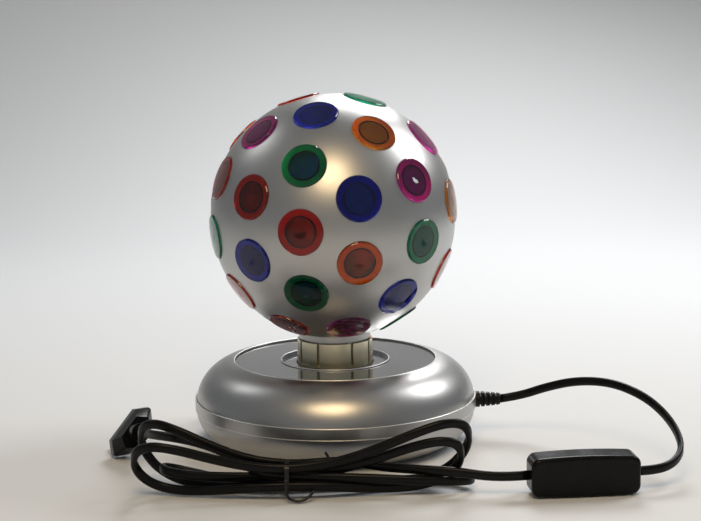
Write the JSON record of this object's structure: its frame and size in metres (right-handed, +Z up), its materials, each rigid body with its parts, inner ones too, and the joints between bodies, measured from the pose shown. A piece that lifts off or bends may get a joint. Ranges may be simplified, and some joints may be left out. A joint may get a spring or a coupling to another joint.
{
  "type": "rotating motion lamp",
  "caption": "Table lamp: a silver ball set with coloured lenses turns on a motor-driven collar over a round base, round a fixed bulb, with cord switch and plug.",
  "frame": {"origin": "on the floor under the centre of the round base", "axes": "+Z up along the ball's turning axis, -Y towards the front as pictured, +X towards the cord's way out"},
  "size_m": [0.3369, 0.2202, 0.2159],
  "materials": {
    "silver_base": "metallised silver, satin gloss",
    "silver_ball": "metallised silver, satin",
    "silver_disc": "metallised silver, mirror-like",
    "collar_silver": "metallised silver, polished",
    "lens_red": "clear red",
    "lens_orange": "clear orange",
    "lens_green": "clear green",
    "lens_blue": "clear blue",
    "lens_magenta": "clear magenta",
    "black_plastic": "black, satin",
    "cord_black": "black, soft",
    "foot_rubber": "matte",
    "white_plastic": "natural",
    "gear_plastic": "natural",
    "steel": "zinc plated",
    "brass": "plain",
    "motor_metal": "satin",
    "cap_metal": "plain",
    "bulb_glass": "clear",
    "holder_plastic": "dark moulded",
    "tie_wire": "black"
  },
  "bodies": {
    "base": {"base_lower_shell": "silver_base", "base_screws": "steel", "base_top_cover": "silver_base", "carrier_plate": "white_plastic", "carrier_screws": "steel", "clamp_screws": "steel", "cord_base_to_switch": "cord_black", "cord_boot": "black_plastic", "cord_clamp": "white_plastic", "cord_hank": "cord_black", "cord_hank_to_plug": "cord_black", "cord_switch_to_hank": "cord_black", "disc_screws": "steel", "hank_tie": "tie_wire", "inner_cord": "cord_black", "lamp_lead": "white_plastic", "lamp_tube": "steel", "lamp_tube_nuts": "steel", "lampholder_body": "holder_plastic", "lampholder_contact": "brass", "lampholder_liner": "brass", "motor_case": "motor_metal", "motor_lead": "white_plastic", "motor_plate": "motor_metal", "motor_screws": "steel", "pin_sleeves": "black_plastic", "plug_body": "black_plastic", "plug_pins": "brass", "retaining_clip": "steel", "rubber_feet": "foot_rubber", "switch_contacts": "brass", "switch_lower_half": "black_plastic", "switch_screws": "steel", "switch_upper_half": "black_plastic", "terminal_block": "white_plastic", "terminal_screws": "brass", "thrust_washer": "steel", "top_disc": "silver_disc"},
    "turntable": {"rotating_collar": "collar_silver", "drive_gear": "gear_plastic", "collar_screws": "steel"},
    "motor_rotor": {"motor_shaft": "steel", "motor_pinion": "gear_plastic"},
    "ball": {"ball_front_shell": "silver_ball", "ball_back_shell": "silver_ball", "ball_joint_hoop": "white_plastic", "lenses_red": "lens_red", "lenses_orange": "lens_orange", "lenses_green": "lens_green", "lenses_blue": "lens_blue", "lenses_magenta": "lens_magenta"},
    "bulb": {"bulb_cap": "cap_metal", "bulb_glass": "bulb_glass", "bulb_filament": "steel"},
    "rocker": {"switch_rocker": "black_plastic"}
  },
  "joints": [
    {"name": "collar_spin", "type": "hinge", "parent": "base", "child": "turntable", "pos_m": [0, 0, 0.042], "axis": [0, 0, 1], "continuous": true},
    {"name": "motor_spin", "type": "hinge", "parent": "base", "child": "motor_rotor", "pos_m": [-0.036, 0, 0.041], "axis": [0, 0, 1], "continuous": true},
    {"name": "ball_lift", "type": "slide", "parent": "turntable", "child": "ball", "axis": [0, 0, 1], "range_m": [0, 0.12]},
    {"name": "bulb_pull", "type": "slide", "parent": "base", "child": "bulb", "axis": [0, 0, 1], "range_m": [0, 0.04]},
    {"name": "rocker_tilt", "type": "hinge", "parent": "base", "child": "rocker", "pos_m": [0.13495, -0.11714, 0.0117], "axis": [0, 0, 1], "range_deg": [0, 12]}
  ],
  "couplings": [
    {"joint": "motor_spin", "follows": "collar_spin", "ratio": -5}
  ]
}
